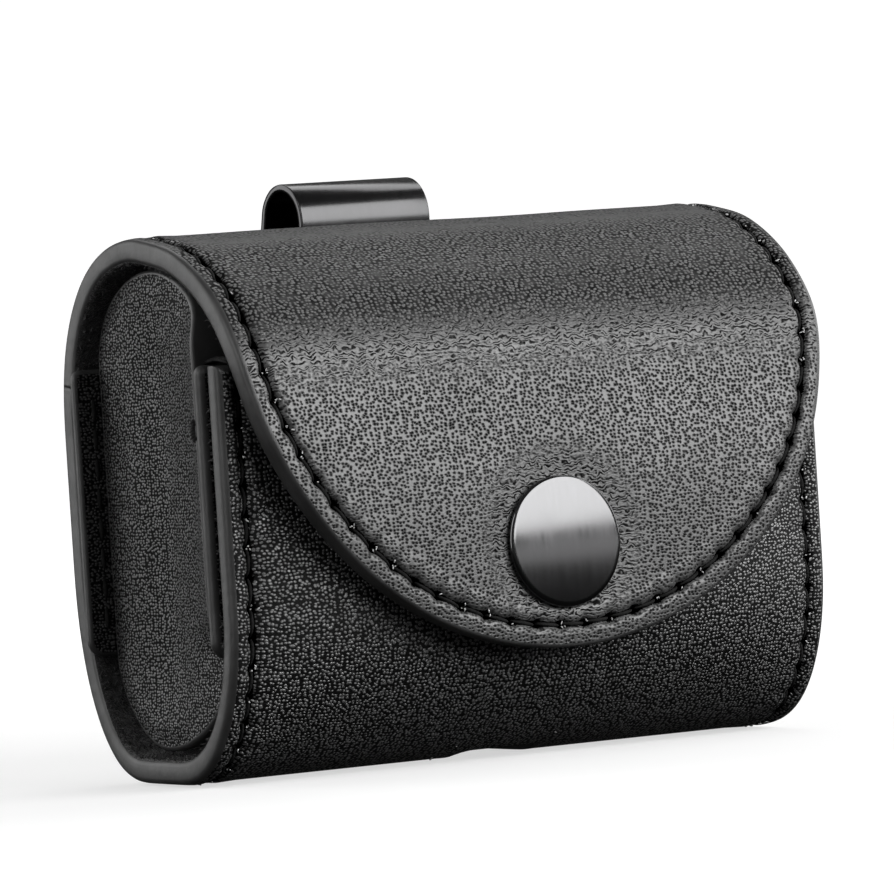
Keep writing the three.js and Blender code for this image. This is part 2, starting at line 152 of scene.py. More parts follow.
class Path:
    """A smooth line in the side view, read by the distance along it."""

    def __init__(self, points, step=0.2, ease=6):
        rough = [Vector(p) for p in points]
        rough = [p for i, p in enumerate(rough) if i == 0 or (p - rough[i - 1]).length > 1e-4]
        self.points = [rough[0]]
        for a, b in zip(rough, rough[1:]):
            count = max(1, round((b - a).length / step))
            self.points += [a.lerp(b, i / count) for i in range(1, count + 1)]
        for _ in range(ease):
            inner = zip(self.points, self.points[1:], self.points[2:])
            eased = [(a + 2 * b + c) / 4 for a, b, c in inner]
            self.points = [self.points[0]] + eased + [self.points[-1]]
        self.along = [0.0]
        for a, b in zip(self.points, self.points[1:]):
            self.along.append(self.along[-1] + (b - a).length)
        self.length = self.along[-1]

    def find(self, s):
        low, high = 0, len(self.along) - 1
        while high - low > 1:
            middle = (low + high) // 2
            if self.along[middle] <= s:
                low = middle
            else:
                high = middle
        return low

    def at(self, s):
        """The point and its outward normal."""
        i = self.find(s)
        span = self.along[i + 1] - self.along[i]
        point = self.points[i].lerp(self.points[i + 1], (s - self.along[i]) / span)
        before = self.points[max(0, i - 2)]
        after = self.points[min(len(self.points) - 1, i + 3)]
        tangent = (after - before).normalized()
        return point, Vector((tangent.y, -tangent.x))

    def where(self, test):
        """The distance along of the first point that passes a test."""
        return next(s for p, s in zip(self.points, self.along) if test(p))


strip = Path(
    [(FRONT_Y, POCKET_TOP)]
    + quarter((FRONT_Y, FRONT_ARC), (FLOOR_FRONT, 0), FLOOR_BEND)
    + quarter((BACK_Y, BACK_ARC), (FLOOR_BACK, 0), FLOOR_BEND)[::-1]
    + quarter((BACK_Y, BACK_SHOULDER), (RIDGE_Y, HEIGHT), BACK_TOP_BEND)
    + spline([(RIDGE_Y, HEIGHT), (-6.7, 52.8), (-13.1, 48.8), (-17.3, 43.4), (-19.4, 35.5),
              (-20.8, 28), (-21.4, 20), (-21.6, 11.1)])[1:],
    ease=70,
)
join_s = strip.where(lambda p: p.x > 0 and p.y > JOIN_HEIGHT)
centre_s = strip.where(lambda p: p.x < 0 and p.y < FLAP_CENTRE and p.x < FRONT_Y - 1)
floor_s = strip.where(lambda p: p.y < 0.05)
flap_round = strip.length - centre_s


def half_width(s):
    point, _ = strip.at(s)
    if s > join_s:
        return STRIP_HALF
    return mix(FRONT_HALF, STRIP_HALF, smooth(-12, 12, point.x))


# ---------------------------------------------------------------- mesh helpers

def make_piece(name, points, faces, materials, face_slots=None, flat=None, seam_shade=None,
               metres=False):
    """A smooth mesh. `flat` gives each point its place on the flattened leather, in mm."""
    mesh = bpy.data.meshes.new(name)
    place = [Vector(p) for p in points] if metres else [to_metres(*p) for p in points]
    mesh.from_pydata(place, [], faces)
    piece = bpy.data.objects.new(name, mesh)
    bpy.context.scene.collection.objects.link(piece)
    for material in materials:
        mesh.materials.append(material)
    if face_slots:
        mesh.polygons.foreach_set("material_index", face_slots)
    if flat:
        layer = mesh.attributes.new("flat", "FLOAT_VECTOR", "POINT")
        layer.data.foreach_set("vector", [value for p in flat for value in p])
    # Per-point painted seam shade: it darkens the colour in the seam grooves and needle holes.
    if seam_shade:
        layer = mesh.attributes.new("seam_shade", "FLOAT", "POINT")
        layer.data.foreach_set("value", seam_shade)
    mesh.polygons.foreach_set("use_smooth", [True] * len(faces))
    return piece


def clean(piece):
    """Welds points that coincide and turns every face outward."""
    distance = 2e-6
    grid = bmesh.new()
    grid.from_mesh(piece.data)
    bmesh.ops.remove_doubles(grid, verts=grid.verts, dist=distance)
    bmesh.ops.dissolve_degenerate(grid, edges=grid.edges, dist=distance / 4)
    bmesh.ops.recalc_face_normals(grid, faces=grid.faces)
    grid.to_mesh(piece.data)
    grid.free()
    piece.data.polygons.foreach_set("use_smooth", [True] * len(piece.data.polygons))
    return piece


def circle(sides):
    turns = [2 * math.pi * i / sides for i in range(sides)]
    return [(math.cos(turn), math.sin(turn)) for turn in turns]


def ring_faces(rings, sides):
    """The faces that join each closed ring of points to the next one."""
    return [(k * sides + i, k * sides + (i + 1) % sides,
             (k + 1) * sides + (i + 1) % sides, (k + 1) * sides + i)
            for k in range(rings - 1) for i in range(sides)]


def finish_piece(piece, body, slot, *nodes):
    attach(piece, body)
    if nodes:
        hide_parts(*nodes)


# ---------------------------------------------------------------- materials

class Nodes:
    """A short way to write a node material."""

    def __init__(self, name):
        self.material = bpy.data.materials.new(name)
        self.material.use_nodes = True
        self.tree = self.material.node_tree
        self.shader = self.tree.nodes["Principled BSDF"]

    def add(self, kind, inputs=None, **settings):
        node = self.tree.nodes.new("ShaderNode" + kind)
        for key, value in settings.items():
            setattr(node, key, value)
        for key, value in (inputs or {}).items():
            self.feed(node.inputs[key], value)
        return node

    def feed(self, socket, value):
        if isinstance(value, bpy.types.NodeSocket):
            self.tree.links.new(value, socket)
        else:
            socket.default_value = value

    def give(self, key, value):
        """Sets or links one of the shader's own inputs."""
        self.feed(self.shader.inputs[key], value)

    def maths(self, operation, a, b=0.0):
        return self.add("Math", {0: a, 1: b}, operation=operation).outputs[0]

    def plus(self, a, b):
        return self.maths("ADD", a, b)

    def minus(self, a, b):
        return self.maths("SUBTRACT", a, b)

    def times(self, a, b):
        return self.maths("MULTIPLY", a, b)

    def ramp(self, value, low, high):
        node = self.add("MapRange", {"Value": value, "From Min": low, "From Max": high},
                        interpolation_type="SMOOTHSTEP")
        return node.outputs["Result"]

    def spread(self, noise_value, low, high):
        node = self.add("MapRange", {"Value": noise_value, "From Min": 0.3, "From Max": 0.7,
                                     "To Min": low, "To Max": high})
        return node.outputs["Result"]

    def mask(self, amount, first, second):
        """A number that is `first` where the amount is 1 and `second` where it is 0."""
        rest = self.minus(1.0, amount)
        return self.plus(self.times(first, amount),
                          self.times(second, rest))

    def blend(self, amount, first, second):
        node = self.add("Mix", data_type="RGBA")
        self.feed(node.inputs["Factor"], amount)
        self.feed(node.inputs["A"], first)
        self.feed(node.inputs["B"], second)
        return node.outputs["Result"]

    def noise(self, place, scale, detail):
        inputs = {"Vector": place, "Scale": scale, "Detail": detail}
        return self.add("TexNoise", inputs).outputs["Fac"]

    def bump(self, height, distance_mm):
        inputs = {"Height": height, "Distance": distance_mm * MM}
        return self.add("Bump", inputs).outputs["Normal"]


WRINKLES_PER_MM = 2.6
PIT_SIZE = 0.365                   # spacing of the strip's grain, in mm
LEATHER_INDEX = 1.75               # refractive index of the leather's finish


def grey(value, tint=0.0):
    return (value, value, value * (1 + tint), 1.0)


def leather(name, look, pit_size, depth, wide=1.2, start=None):
    """Pebbled leather whose grain draws out into fine wrinkles where the hide is bent.

    The `flat` attribute holds the place on the flattened hide in millimetres and, as its third
    number, how hard the hide is bent. The seam attribute is 1 in the seams and needle holes,
    where it darkens the colour as painted shade. `look` holds the surface tone, the roughness,
    the gloss and the raised grain: with raised = 1 the dots stand up as small bright pebbles,
    with 0 they are dark pits. `wide` is the dots' width over their height. `start` is the look
    that the leather eases away from beyond the back join."""
    n = Nodes(name)
    flat = n.add("Attribute", attribute_name="flat").outputs["Vector"]
    seam_shade = n.add("Attribute", attribute_name="seam_shade").outputs["Fac"]
    parts = n.add("SeparateXYZ", {"Vector": flat}).outputs
    if start:
        far = n.ramp(parts["Y"], join_s + 2, join_s + 24)
        look = [n.plus(first, n.times(far, last - first))
                for first, last in zip(start, look)]
    surface, rough, gloss, raised = look
    level = n.add("CombineXYZ", {"X": parts["X"], "Y": parts["Y"]}).outputs[0]
    warp = n.add("TexNoise", {"Vector": level, "Scale": 0.5, "Detail": 3.0}).outputs["Color"]
    bent = n.add("VectorMath", {0: warp, 1: (0.5, 0.5, 0.5)}, operation="SUBTRACT").outputs[0]
    bent = n.add("VectorMath", {0: bent, "Scale": 0.5}, operation="SCALE").outputs[0]
    place = n.add("VectorMath", {0: level, 1: bent}, operation="ADD").outputs[0]
    pits_place = n.add("Mapping", {"Vector": place, "Scale": (1 / wide, 1.0, 1.0)}).outputs[0]
    cells = n.add("TexVoronoi", {"Vector": pits_place, "Scale": 1 / pit_size, "Randomness": 0.7},
                  voronoi_dimensions="2D")
    size = n.noise(level, 0.7, 3.0)
    reach = n.spread(size, 0.32, 0.46)
    pebbles = n.ramp(n.minus(cells.outputs["Distance"], reach), -0.24, 0.1)
    holes = n.ramp(n.minus(reach, cells.outputs["Distance"]), -0.14, 0.3)
    dots = n.mask(raised, pebbles, holes)
    drawn = n.ramp(n.plus(parts["Z"], n.times(size, 0.5)), 0.35, 0.9)
    stray = n.times(n.minus(n.noise(level, 1.1, 1.0), 0.5), 3.6)
    phase = n.plus(n.times(parts["Y"], WRINKLES_PER_MM), stray)
    wave = n.maths("SINE", n.times(phase, 2 * math.pi))
    broken = n.ramp(n.noise(pits_place, 2.3, 1.0), 0.38, 0.56)
    lines = n.times(n.ramp(wave, -0.75, 0.9),
                    n.plus(0.15, n.times(broken, 0.85)))
    past_shoulder = n.ramp(parts["Y"], centre_s - 2, centre_s + 4)
    pits = n.mask(drawn, n.mask(past_shoulder, lines, pebbles), dots)
    fine = n.noise(place, 3.0 / pit_size, 2.0)
    broad = n.noise(level, 0.06, 2.0)
    tone = n.times(surface, n.plus(0.55, n.times(fine, 0.9)))
    skin = n.times(tone, n.minus(1.0, n.times(pits, 0.97)))
    # Painted shade: the colour goes black in the seam grooves and needle holes, with ragged edges,
    # and the gloss drops there.
    ragged = n.plus(seam_shade, n.times(n.minus(fine, 0.5), 1.1))
    black = n.ramp(ragged, 0.3, 0.55)
    clear = n.minus(1.0, black)
    n.give("Base Color", n.times(skin, clear))
    shine = n.spread(broad, -0.03, 0.05)
    matt = n.plus(n.times(pits, 0.3), n.times(black, 0.5))
    n.give("Roughness", n.plus(n.plus(shine, rough), matt))
    glossy = n.minus(1.0, n.times(pits, 0.92))
    glossy = n.times(glossy, gloss)
    n.give("Specular IOR Level", n.times(glossy, clear))
    height = n.minus(n.times(fine, 0.3), pits)
    n.give("Normal", n.bump(height, depth))
    n.give("IOR", LEATHER_INDEX)
    return n.material


def painted_edge():
    """Semi-gloss edge paint, a little uneven along the edge."""
    n = Nodes("painted_edge")
    place = n.add("TexCoord").outputs["Object"]
    streak = n.noise(place, 900.0, 3.0)
    tone = n.ramp(n.noise(place, 160.0, 3.0), 0.35, 0.7)
    n.give("Base Color", n.blend(tone, grey(0.022), grey(0.04)))
    n.give("Roughness", n.plus(0.38, n.times(streak, 0.16)))
    n.give("Normal", n.bump(streak, 0.05))
    n.give("Specular IOR Level", 0.7)
    return n.material


def napped_lining():
    """Black microfibre with a short, tousled nap."""
    n = Nodes("microfibre")
    place = n.add("TexCoord").outputs["Object"]
    clumps = n.noise(place, 1500.0, 5.0)
    hairs = n.noise(place, 5200.0, 4.0)
    shade = n.blend(n.ramp(clumps, 0.4, 0.65), grey(0.004), grey(0.03))
    n.give("Base Color", shade)
    n.give("Normal", n.bump(n.plus(clumps, hairs), 0.35))
    n.give("Roughness", 0.95)
    n.give("Sheen Weight", 0.35)
    n.give("Sheen Roughness", 0.5)
    return n.material


def waxed_thread(name, tone):
    n = Nodes(name)
    place = n.add("TexCoord").outputs["Object"]
    strands = n.noise(place, 3600.0, 3.0)
    shade = n.blend(n.ramp(strands, 0.35, 0.65), grey(tone * 0.4), grey(tone))
    n.give("Base Color", shade)
    n.give("Normal", n.bump(strands, 0.08))
    n.give("Roughness", 0.8)
    n.give("Specular IOR Level", 0.2)
    return n.material


def satin_metal(name, tone, rough, line_scale):
    """Plated steel with faint upright polishing lines."""
    n = Nodes(name)
    place = n.add("TexCoord").outputs["Object"]
    lines = n.add("Mapping", {"Vector": place, "Scale": (line_scale, line_scale, 60.0)}).outputs[0]
    brushed = n.noise(lines, 1.0, 4.0)
    smudge = n.noise(place, 220.0, 3.0)
    shade = n.blend(brushed, grey(tone * 0.93, 0.01), grey(tone * 1.07, 0.02))
    n.give("Base Color", shade)
    wobble = n.times(n.plus(brushed, smudge), 0.08)
    n.give("Roughness", n.plus(rough - 0.08, wobble))
    n.give("Normal", n.bump(brushed, 0.004))
    n.give("Metallic", 1.0)
    return n.material


BODY_LOOK = (0.11, 0.27, 1.0, 1.0)
FLAP_LOOK = (0.06, 0.37, 0.45, 0.0)
SIDE_LOOK = (0.075, 0.32, 0.8, 1.0)
flap_leather = leather("flap_leather", FLAP_LOOK, PIT_SIZE, 0.05, 1.35, start=BODY_LOOK)
body_leather = leather("body_leather", BODY_LOOK, PIT_SIZE, 0.09)
side_leather = leather("side_leather", SIDE_LOOK, 0.31, 0.08, 1.3)
edge_paint = painted_edge()
microfibre = napped_lining()
black_thread = waxed_thread("black_thread", 0.012)
pale_lint = waxed_thread("pale_lint", 0.75)
nap_fibre = waxed_thread("nap_fibre", 0.1)
gunmetal = satin_metal("gunmetal", 0.115, 0.15, 2600.0)
black_steel = satin_metal("black_steel", 0.06, 0.2, 1500.0)

# ---------------------------------------------------------------- the wrapped strip

INSETS = [0, 0.06, 0.18, 0.36, 0.6, 0.9, 1.2, 1.5, 1.75, 1.95, 2.12, 2.3, 2.48, 2.65, 2.85,
          3.15, 3.6, 4.2]
MIDDLE_COLUMNS = 40
FRONT_BEAD = 0.85                  # edge radii of the strip
BEAD = 0.6
TIP_BEAD = 0.4                     # round the flap's tip the face runs almost to the edge


def edge_round(d, r):
    """How far the face drops away at distance d from the outline, with an edge radius r."""
    if d >= r:
        return 0.0
    return r - math.sqrt(max(0.0, r * r - (r - d) ** 2))


def panel_crown(x, s):
    """The front panel's bulge, with a flat spot for the snap."""
    if s > floor_s:
        return 0.0
    z = strip.at(s)[0].y
    across = max(0.0, 1 - abs(x / (FRONT_HALF - 2.1)) ** 4)
    upright = smooth(0, 16, z) * (1 - smooth(17, POCKET_TOP, z))
    free = smooth(7, 11, math.hypot(x - SNAP_X, z - SNAP_Z))
    return mix(SNAP_SEAT, PANEL_CROWN * across * upright, free)


def hole_pull(along):
    """1 at a needle hole and 0 half a stitch away."""
    return (0.5 + 0.5 * math.cos(2 * math.pi * along / STITCH)) ** 3


def seam_valley(inset, along):
    """The groove that the thread pulls, deepest and widest at the needle holes."""
    hole = hole_pull(along)
    groove = math.exp(-((inset - SEAM_INSET) / mix(0.3, 0.52, hole)) ** 2) * mix(0.4, 0.8, hole)
    margin = math.exp(-((inset - 1.35) / 0.55) ** 2) * 0.1
    puff = math.exp(-((inset - 3.7) / 0.9) ** 2) * 0.1 * (1 - hole)
    return groove - margin - puff


# Painted shade: how strongly the seam groove and needle holes are coloured darker, standing in for
# the shade that falls there.
def seam_shade_amount(inset, along):
    hole = hole_pull(along)
    return min(1.0, 1.3 * math.exp(-((inset - SEAM_INSET) / mix(0.22, 0.46, hole)) ** 2))


TIGHT_BEND = 0.75                  # radians of turn over 8 mm that wrinkle the hide fully


def bending(x, s, edge):
    """How far the hide's grain is drawn into wrinkles: 0 on the flat, 1 in tight bends."""
    before, after = strip.at(max(0, s - 4))[1], strip.at(min(strip.length, s + 4))[1]
    curve = before.angle(after, 0.0)
    if s < floor_s:
        # The front panel was moulded to its bulge, so its grain is hardly drawn.
        curve *= 0.3
    near_seam = 0.4 * math.exp(-((edge - SEAM_INSET) / 0.8) ** 2)
    pressed = 0.0
    if s > centre_s:
        r = math.hypot(x - SNAP_X, strip.at(s)[0].y - SNAP_Z)
        pressed = 0.75 * math.exp(-((r - CAP_RADIUS) / 2.4) ** 2)
    return min(1.0, curve / TIGHT_BEND + near_seam + pressed)


def flap_ripple(x, s):
    """Slow unevenness of the leather, and the hollow that the cap presses round itself."""
    slow = noise.noise(Vector((x * 0.055, s * 0.055, 3.1))) * 0.2 - 0.16
    if s < centre_s:
        return slow
    z = strip.at(min(s, strip.length))[0].y
    r = math.hypot(x - SNAP_X, z - SNAP_Z)
    return slow * smooth(4, 12, r) + 0.28 * math.exp(-((r - 6.2) / 2.6) ** 2)


def place_on_strip(x, s, depth):
    point, normal = strip.at(s)
    return (x, point.x - normal.x * depth, point.y - normal.y * depth)


def strip_piece(name, rows, materials, is_flap):
    """A closed sheet. Each row gives, for an inset from the side edge, x and s."""
    insets = INSETS + [None] * (MIDDLE_COLUMNS - 1) + INSETS[::-1]
    columns = len(insets)
    outer, inner, flat, seam_shade, depth_in = [], [], [], [], []
    for row in rows:
        x_inner, s_inner = row["at"](INSETS[-1])
        for j, inset in enumerate(insets):
            if inset is None:
                across = 2 * (j - len(INSETS) + 1) / MIDDLE_COLUMNS - 1
                x, s = across * x_inner, s_inner
                edge = INSETS[-1] + 1
            else:
                x, s = row["at"](inset)
                x = x if j >= columns / 2 else -x
                edge = inset
            d = min(edge, row["end"])
            crown = 0.0 if is_flap else panel_crown(x, s)
            groove = seam_valley(edge, row["along"]) * smooth(0.6, 1.6, row["end"])
            ripple = flap_ripple(x, s) * smooth(1.0, 4.0, edge) if is_flap else 0.0
            drop = edge_round(d, row["bead"])
            outer.append(place_on_strip(x, s, drop + groove + ripple - crown))
            inner.append(place_on_strip(x, s, THICKNESS - drop - crown))
            flat.append((x, s, bending(x, s, edge)))
            seam_shade.append(seam_shade_amount(edge, row["along"]))
            depth_in.append(d / row["bead"])
    count = len(outer)
    faces, slots = [], []

    def add_face(corners, slot):
        faces.append(corners)
        slots.append(slot)

    for r in range(len(rows) - 1):
        for c in range(columns - 1):
            a, b = r * columns + c, (r + 1) * columns + c
            nearest = min(depth_in[k] for k in (a, a + 1, b, b + 1))
            add_face((a, b, b + 1, a + 1), 1 if nearest < 0.7 else 0)
            add_face((a + count, a + 1 + count, b + 1 + count, b + count), 1 if nearest < 0.2 else 2)
    cut = 0 if is_flap else (len(rows) - 1) * columns
    for c in range(columns - 1):
        add_face((cut + c, cut + c + 1, cut + c + 1 + count, cut + c + count), 2)
    for r in range(len(rows) - 1):
        for a in (r * columns, (r + 1) * columns - 1):
            add_face((a, a + columns, a + columns + count, a + count), 1)
    return clean(make_piece(name, outer + inner, faces, materials, slots, flat + flat,
                            seam_shade + [0.0] * count))


def straight_row(s, end):
    half = half_width(s)
    bead = mix(FRONT_BEAD, BEAD, smooth(floor_s - 14, floor_s - 2, s))
    return {"at": lambda inset: (half - inset, s), "end": end, "along": s, "bead": bead}


def round_row(degrees):
    turn = math.radians(degrees)

    def at(inset):
        x = (STRIP_HALF - inset) * math.cos(turn)
        return x, min(strip.length, centre_s + (flap_round - inset) * math.sin(turn))
    bead = mix(BEAD, TIP_BEAD, smooth(0, 50, degrees))
    along = centre_s + (STRIP_HALF - SEAM_INSET) * turn
    return {"at": at, "end": 99.0, "along": along, "bead": bead}


def evenly(start, stop, step):
    count = max(1, round((stop - start) / step))
    return [mix(start, stop, i / count) for i in range(count + 1)]


shell_rows = [straight_row(s, s) for s in INSETS[:12]]
shell_rows += [straight_row(s, s) for s in evenly(INSETS[12], join_s, 0.33)]
flap_rows = [straight_row(s, 99.0) for s in evenly(join_s, centre_s, 0.33)]
flap_rows += [round_row(angle) for angle in evenly(0, 90, 0.6)[1:]]

shell = strip_piece("shell_skin", shell_rows, [body_leather, edge_paint, microfibre], False)
flap = strip_piece("flap_skin", flap_rows, [flap_leather, edge_paint, microfibre], True)


def bends_with_flap(piece, slot, *nodes):
    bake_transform(piece)
    if nodes:
        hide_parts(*nodes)


finish_piece(shell, "case", "black_leather", "shell_leather", "shell_lining")
bends_with_flap(flap, "black_leather", "flap_leather", "flap_lining")

# ---------------------------------------------------------------- stitches

def tube_points(route, radii, sides):
    """Points and faces of a tube through a route, closed at both ends."""
    points = []
    for i, centre in enumerate(route):
        before = route[max(0, i - 1)]
        after = route[min(len(route) - 1, i + 1)]
        tangent = (after - before).normalized()
        side = tangent.cross(Vector((0.31, 0.52, 0.79))).normalized()
        other = tangent.cross(side)
        points += [centre + (side * x + other * y) * radii[i] for x, y in circle(sides)]
    last = (len(route) - 1) * sides
    ends = [tuple(range(sides))[::-1], tuple(range(last, last + sides))]
    return points, ring_faces(len(route), sides) + ends


def thread_piece(name, runs, material=black_thread, sides=8):
    """One mesh of many short tubes: each run is (route, radii)."""
    points, faces = [], []
    for route, radii in runs:
        more, more_faces = tube_points([Vector(p) for p in route], radii, sides)
        start = len(points)
        points += more
        faces += [tuple(i + start for i in face) for face in more_faces]
    return make_piece(name, points, faces, [material])


def stitch(locate, start, radius=0.21, slant=0.08):
    """One stitch: it rises out of one needle hole and dives into the next."""
    route, radii = [], []
    steps = 9
    for i in range(steps + 1):
        t = i / steps
        lift = math.sin(math.pi * t) ** 0.6
        along = start + STITCH * (0.05 + 0.9 * t)
        route.append(locate(along, slant * (2 * t - 1), 0.78 - 0.5 * lift))
        radii.append(radius * (0.7 + 0.3 * math.sin(math.pi * t)))
    return route, radii


def seam(locate, first, last, **more):
    """Stitches between needle holes, which stand at whole multiples of the stitch length."""
    start = math.ceil(first / STITCH - 1e-6)
    return [stitch(locate, i * STITCH, **more) for i in range(start, int(last / STITCH))]


def lint(locate, first, last, chance, size=0.16):
    """Pale wisps of fibre at some of the needle holes."""
    runs = []
    for i in range(math.ceil(first / STITCH), int(last / STITCH) + 1):
        if random.random() > chance:
            continue
        for _ in range(random.randint(1, 4)):
            along = i * STITCH + random.uniform(-0.3, 0.3)
            side = random.uniform(-0.35, 0.35)
            lift = random.uniform(0.02, 0.12)
            start = Vector(locate(along, side, -lift))
            end = Vector(locate(along + random.uniform(-0.25, 0.25),
                                side + random.uniform(-0.35, 0.35), -lift - 0.08))
            middle = start.lerp(end, 0.5)
            runs.append(([start, middle, end], [size * 0.3, size * 0.55, size * 0.25]))
    return runs


def shell_seam_place(sign):
    def locate(along, side, depth):
        x = sign * (half_width(along) - SEAM_INSET + side)
        return place_on_strip(x, along, depth - panel_crown(x, along))
    return locate


arc_run = (STRIP_HALF - SEAM_INSET) * math.pi / 2


def flap_seam_place(along, side, depth):
    """Along counts from the join as on the strip, round the tip, and on to the other join."""
    middle = centre_s + arc_run
    sign = -1 if along < middle else 1
    near = along if along < middle else 2 * middle - along
    inset = SEAM_INSET - side
    if near < centre_s:
        return place_on_strip(sign * (STRIP_HALF - inset), near, depth)
    turn = min(math.pi / 2, (near - centre_s) / (STRIP_HALF - SEAM_INSET))
    x = sign * (STRIP_HALF - inset) * math.cos(turn)
    return place_on_strip(x, centre_s + (flap_round - inset) * math.sin(turn), depth)


shell_lint = []
for side_name, sign in (("left", -1), ("right", 1)):
    locate = shell_seam_place(sign)
    piece = thread_piece(f"{side_name}_edge_stitches", seam(locate, 1.5, join_s - 0.2))
    finish_piece(piece, "case", "thread", f"{side_name}_edge_thread")
    shell_lint += lint(locate, 1.5, join_s - 6, 0.65)
seam_end = 2 * (centre_s + arc_run) - join_s
flap_stitches = thread_piece("flap_edge_stitches", seam(flap_seam_place, join_s, seam_end))
bends_with_flap(flap_stitches, "thread", "flap_edge_thread")
flap_lint = thread_piece("flap_stitch_lint",
                         lint(flap_seam_place, join_s + 3, seam_end - 3, 0.6, 0.13),
                         pale_lint)
bends_with_flap(flap_lint, "thread")

# ---------------------------------------------------------------- window in the floor

WINDOW_HALF = (5.0, 6.5)
WINDOW_Y = -0.3
WINDOW_CORNER = 1.6
WINDOW_STITCH = 2.6


def window_outline(grow):
    """A rounded rectangle round the window, as points with even spacing."""
    step = 0.4
    x, y = WINDOW_HALF[0] + grow, WINDOW_HALF[1] + grow
    r = WINDOW_CORNER + grow
    corners = [(x - r, y - r, 0), (r - x, y - r, 90), (r - x, r - y, 180), (x - r, r - y, 270)]
    points = []
    for cx, cy, start in corners:
        for i in range(13):
            turn = math.radians(start + 90 * i / 12)
            points.append(Vector((cx + r * math.cos(turn), cy + r * math.sin(turn) + WINDOW_Y)))
    points.append(points[0])
    dense = []
    for a, b in zip(points, points[1:]):
        count = max(1, round((b - a).length / step))
        dense += [a.lerp(b, i / count) for i in range(count)]
    return dense


def floor_point(x, y, depth):
    """A point on the strip's floor, found by its depth coordinate."""
    i = min(range(len(strip.points)), key=lambda k: abs(strip.points[k].x - y)
            + (99 if strip.points[k].y > 8 or strip.along[k] > join_s else 0))
    return place_on_strip(x, strip.along[i], depth)


def cut_window(piece):
    outline = window_outline(0)
    count = len(outline)
    points = [(p.x, p.y, z) for z in (-3, 6) for p in outline]
    faces = [tuple(range(count))[::-1], tuple(range(count, 2 * count))] + ring_faces(2, count)
    cutter = make_piece("cutter", points, faces, [edge_paint])
    modifier = piece.modifiers.new("window", "BOOLEAN")
    modifier.object = cutter
    modifier.operation = "DIFFERENCE"
    modifier.solver = "EXACT"
    evaluated = piece.evaluated_get(bpy.context.evaluated_depsgraph_get())
    cut_mesh = bpy.data.meshes.new_from_object(evaluated)
    piece.modifiers.remove(modifier)
    old = piece.data
    piece.data = cut_mesh
    bpy.data.meshes.remove(old)
    bpy.data.objects.remove(cutter)


cut_window(shell)


def window_rim():
    """The painted, rounded edge of the window."""
    rings = []
    steps = 8
    for i in range(steps + 1):
        turn = math.pi * i / steps
        grow = -0.32 * math.sin(turn)
        rings.append((grow, THICKNESS / 2 - (THICKNESS / 2 + 0.02) * math.cos(turn)))
    rings += [(0.5, THICKNESS + 0.02), (0.5, -0.02), rings[0]]
    outline = window_outline(0)
    centre = Vector((0, WINDOW_Y))
    points = []
    for grow, depth in rings:
        for p in outline:
            spot = p + (p - centre).normalized() * grow
            points.append(floor_point(spot.x, spot.y, depth))
    faces = ring_faces(len(rings), len(outline))
    return clean(make_piece("window_rim", points, faces, [edge_paint]))


finish_piece(window_rim(), "case", "black_leather")

window_path = window_outline(WINDOW_STITCH)
window_length = sum((b - a).length for a, b in zip(window_path, window_path[1:] + window_path[:1]))


def window_seam_place(along, side, depth):
    travelled = along % window_length
    for a, b in zip(window_path, window_path[1:] + window_path[:1]):
        step = (b - a).length
        if travelled <= step:
            break
        travelled -= step
    spot = a.lerp(b, travelled / step)
    return floor_point(spot.x, spot.y, max(depth, 0.3) if spot.y > FLOOR_FRONT else depth)


window_stitches = thread_piece("window_stitches",
                               seam(window_seam_place, 0, window_length, radius=0.24),
                               waxed_thread("worn_thread", 0.3))
finish_piece(window_stitches, "case", "thread", "window_thread")
shell_lint += lint(window_seam_place, window_length * 0.5, window_length * 0.8, 0.9, 0.2)
finish_piece(thread_piece("shell_stitch_lint", shell_lint, pale_lint), "case", "thread")

# ---------------------------------------------------------------- gussets

def offset_ring(outline, inset):
    """The closed outline moved inward by `inset`."""
    count = len(outline)
    ring = []
    for i, p in enumerate(outline):
        tangent = (outline[(i + 1) % count] - outline[i - 1]).normalized()
        ring.append(p + Vector((-tangent.y, tangent.x)) * inset)
    return ring


def slab_piece(name, outline, spine, thickness, edge, place, materials, surface=None, fill=16):
    """A closed plate with a rounded edge. `outline` runs anticlockwise, `spine` is the line
    that its rings close on, and `place(u, v, out)` puts a point in space."""
    insets = [edge * (1 - math.cos(math.radians(a))) for a in range(0, 91, 15)]
    insets += [edge + 0.25, edge + 0.6]
    rings = [(inset, offset_ring(outline, inset)) for inset in insets]
    last = rings[-1][1]
    a, b = Vector(spine[0]), Vector(spine[1])
    for i in range(1, fill + 1):
        ring = []
        for p in last:
            along = min(1.0, max(0.0, (p - a).dot(b - a) / (b - a).length_squared))
            ring.append(p.lerp(a.lerp(b, along), i / fill))
        rings.append((insets[-1] + i, ring))
    count = len(outline)
    points, faces, slots, flat = [], [], [], []
    for side in (0, 1):
        for inset, ring in rings:
            drop = edge - math.sqrt(max(0.0, edge ** 2 - max(0.0, edge - inset) ** 2))
            for p in ring:
                raised = surface(p, inset) if surface and side == 0 else 0.0
                out = thickness - drop + raised if side == 0 else drop
                points.append(place(p.x, p.y, out))
                flat.append((p.x, p.y, 0.0))
    rim = len(rings) * count
    for side in (0, 1):
        for r in range(len(rings) - 1):
            for i in range(count):
                k = side * rim + r * count
                j = (i + 1) % count
                faces.append((k + i, k + j, k + count + j, k + count + i))
                painted = rings[r][0] < edge * 0.75
                slots.append(1 if painted else (0 if side == 0 else 2))
    for i in range(count):
        j = (i + 1) % count
        faces.append((i, j, rim + j, rim + i))
        slots.append(1)
    return clean(make_piece(name, points, faces, materials, slots, flat))


